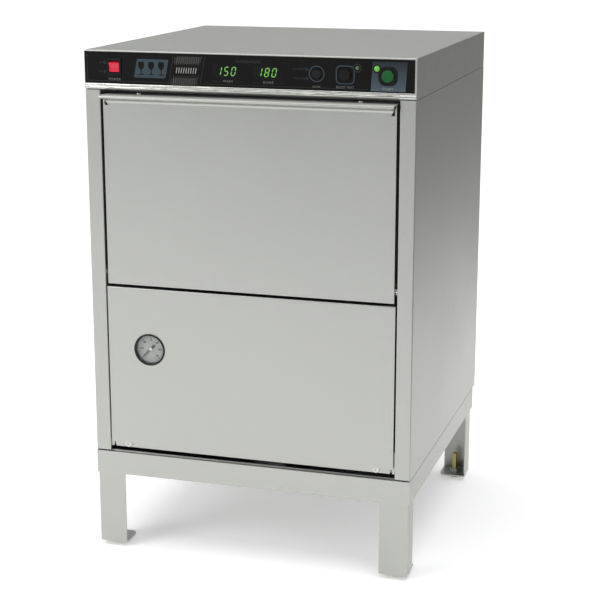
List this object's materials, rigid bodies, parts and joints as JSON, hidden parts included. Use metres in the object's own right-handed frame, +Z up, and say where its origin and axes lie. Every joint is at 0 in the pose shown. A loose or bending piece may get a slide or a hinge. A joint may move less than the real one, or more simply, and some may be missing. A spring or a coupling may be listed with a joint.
{
  "type": "under-counter glasswasher",
  "caption": "Stainless under-counter glasswasher on a legged stand, with a drop-down door, a full-width pull lip, a black control strip and a lower access panel with a gauge.",
  "frame": {"origin": "centre of the footprint's bounding box, on the floor under the levelling feet", "axes": "+Z up, -Y out of the door's face, +X to the right of a person facing the door"},
  "size_m": [0.61, 0.67, 0.948],
  "materials": {
    "stainless": "satin",
    "tank_steel": "bead blasted",
    "fixings": "polished",
    "foot_brass": "machined",
    "overlay_black": "satin black film",
    "switch_black": "moulded",
    "rocker_red": "translucent red, lit",
    "button_green": "moulded",
    "lens": "tinted",
    "board_green": "solder mask",
    "gauge_black": "satin black",
    "window_glass": "clear",
    "gasket_rubber": "matt",
    "motor_paint": "satin grey",
    "pump_plastic": "moulded",
    "heater_steel": "rolled",
    "rotor_steel": "turned"
  },
  "bodies": {
    "cabinet": {"access_panel": "stainless", "access_panel_screws": "fixings", "back_panel": "stainless", "base_pan": "tank_steel", "booster_heater": "heater_steel", "bottom_cross_rail": "stainless", "chamber_front_frame": "tank_steel", "chamber_roof": "tank_steel", "chamber_wrap": "tank_steel", "contactor_box": "motor_paint", "control_board": "board_green", "control_overlay": "overlay_black", "dosing_pump_housings": "pump_plastic", "drain_pipe": "pump_plastic", "fascia_lenses": "lens", "frame_uprights": "tank_steel", "gauge_case": "gauge_black", "gauge_window": "window_glass", "hinge_bushes": "foot_brass", "hood": "stainless", "inlet_valve": "foot_brass", "power_gland": "pump_plastic", "rack_rails": "tank_steel", "scrap_screen": "tank_steel", "side_panel_left": "stainless", "side_panel_right": "stainless", "spray_hubs": "tank_steel", "stand_front_rail": "stainless", "stand_leg_front_left": "stainless", "stand_leg_front_right": "stainless", "stand_leg_rear_left": "stainless", "stand_leg_rear_right": "stainless", "stand_rear_rail": "stainless", "stand_side_rail_left": "stainless", "stand_side_rail_right": "stainless", "sump_tank": "tank_steel", "switch_bezels": "switch_black", "wash_piping": "pump_plastic", "wash_pump_motor": "motor_paint", "wash_pump_volute": "pump_plastic"},
    "door": {"door_skin": "stainless", "door_liner": "tank_steel", "door_gasket": "gasket_rubber", "door_hinge_pins": "fixings", "door_lip_screws": "fixings"},
    "power_rocker": {"power_rocker": "rocker_red"},
    "prime_rocker": {"prime_rocker": "switch_black"},
    "boost_button": {"boost_button": "switch_black"},
    "start_button": {"start_button": "button_green"},
    "gauge_pointer": {"gauge_pointer": "gauge_black"},
    "lower_wash_arm": {"lower_wash_arm": "tank_steel"},
    "upper_wash_arm": {"upper_wash_arm": "tank_steel"},
    "wash_pump_rotor": {"wash_pump_rotor": "rotor_steel"},
    "detergent_pump_rotor": {"detergent_pump_rotor": "pump_plastic"},
    "rinse_aid_pump_rotor": {"rinse_aid_pump_rotor": "pump_plastic"},
    "overflow_standpipe": {"overflow_standpipe": "tank_steel"},
    "levelling_foot_front_left": {"levelling_foot_front_left": "foot_brass"},
    "levelling_foot_front_right": {"levelling_foot_front_right": "foot_brass"},
    "levelling_foot_rear_left": {"levelling_foot_rear_left": "foot_brass"},
    "levelling_foot_rear_right": {"levelling_foot_rear_right": "foot_brass"}
  },
  "joints": [
    {"name": "door_hinge", "type": "hinge", "parent": "cabinet", "child": "door", "pos_m": [0, -0.301, 0.541], "axis": [1, 0, 0], "range_deg": [0, 90], "stiffness_Nm_per_rad": 4, "springref_deg": -17.19},
    {"name": "power_switch", "type": "hinge", "parent": "cabinet", "child": "power_rocker", "pos_m": [-0.2468, -0.3095, 0.9188], "axis": [-1, 0, 0], "range_deg": [0, 16]},
    {"name": "prime_switch", "type": "hinge", "parent": "cabinet", "child": "prime_rocker", "pos_m": [0.1286, -0.309, 0.9174], "axis": [1, 0, 0], "range_deg": [-7, 7], "stiffness_Nm_per_rad": 0.05},
    {"name": "boost_press", "type": "slide", "parent": "cabinet", "child": "boost_button", "axis": [0, 1, 0], "range_m": [0, 0.003], "stiffness_N_per_m": 400, "springref_m": -0.002},
    {"name": "start_press", "type": "slide", "parent": "cabinet", "child": "start_button", "axis": [0, 1, 0], "range_m": [0, 0.003], "stiffness_N_per_m": 400, "springref_m": -0.002},
    {"name": "gauge_needle", "type": "hinge", "parent": "cabinet", "child": "gauge_pointer", "pos_m": [-0.1925, -0.308, 0.399], "axis": [0, 1, 0], "range_deg": [0, 270], "stiffness_Nm_per_rad": 0.0005, "springref_deg": -11.46},
    {"name": "lower_arm_spin", "type": "hinge", "parent": "cabinet", "child": "lower_wash_arm", "pos_m": [0, -0.00625, 0.56], "axis": [0, 0, 1], "continuous": true},
    {"name": "upper_arm_spin", "type": "hinge", "parent": "cabinet", "child": "upper_wash_arm", "pos_m": [0, -0.00625, 0.845], "axis": [0, 0, 1], "continuous": true},
    {"name": "wash_pump_spin", "type": "hinge", "parent": "cabinet", "child": "wash_pump_rotor", "pos_m": [0.04, 0.077, 0.3], "axis": [1, 0, 0], "continuous": true},
    {"name": "detergent_pump_spin", "type": "hinge", "parent": "cabinet", "child": "detergent_pump_rotor", "pos_m": [-0.04, -0.253, 0.3], "axis": [0, 1, 0], "continuous": true},
    {"name": "rinse_aid_pump_spin", "type": "hinge", "parent": "cabinet", "child": "rinse_aid_pump_rotor", "pos_m": [0.05, -0.253, 0.3], "axis": [0, 1, 0], "continuous": true},
    {"name": "standpipe_lift", "type": "slide", "parent": "cabinet", "child": "overflow_standpipe", "axis": [0, 0, 1], "range_m": [0, 0.022]},
    {"name": "foot_front_left_screw", "type": "slide", "parent": "cabinet", "child": "levelling_foot_front_left", "axis": [0, 0, -1], "range_m": [0, 0.02]},
    {"name": "foot_front_right_screw", "type": "slide", "parent": "cabinet", "child": "levelling_foot_front_right", "axis": [0, 0, -1], "range_m": [0, 0.02]},
    {"name": "foot_rear_left_screw", "type": "slide", "parent": "cabinet", "child": "levelling_foot_rear_left", "axis": [0, 0, -1], "range_m": [0, 0.02]},
    {"name": "foot_rear_right_screw", "type": "slide", "parent": "cabinet", "child": "levelling_foot_rear_right", "axis": [0, 0, -1], "range_m": [0, 0.02]}
  ]
}
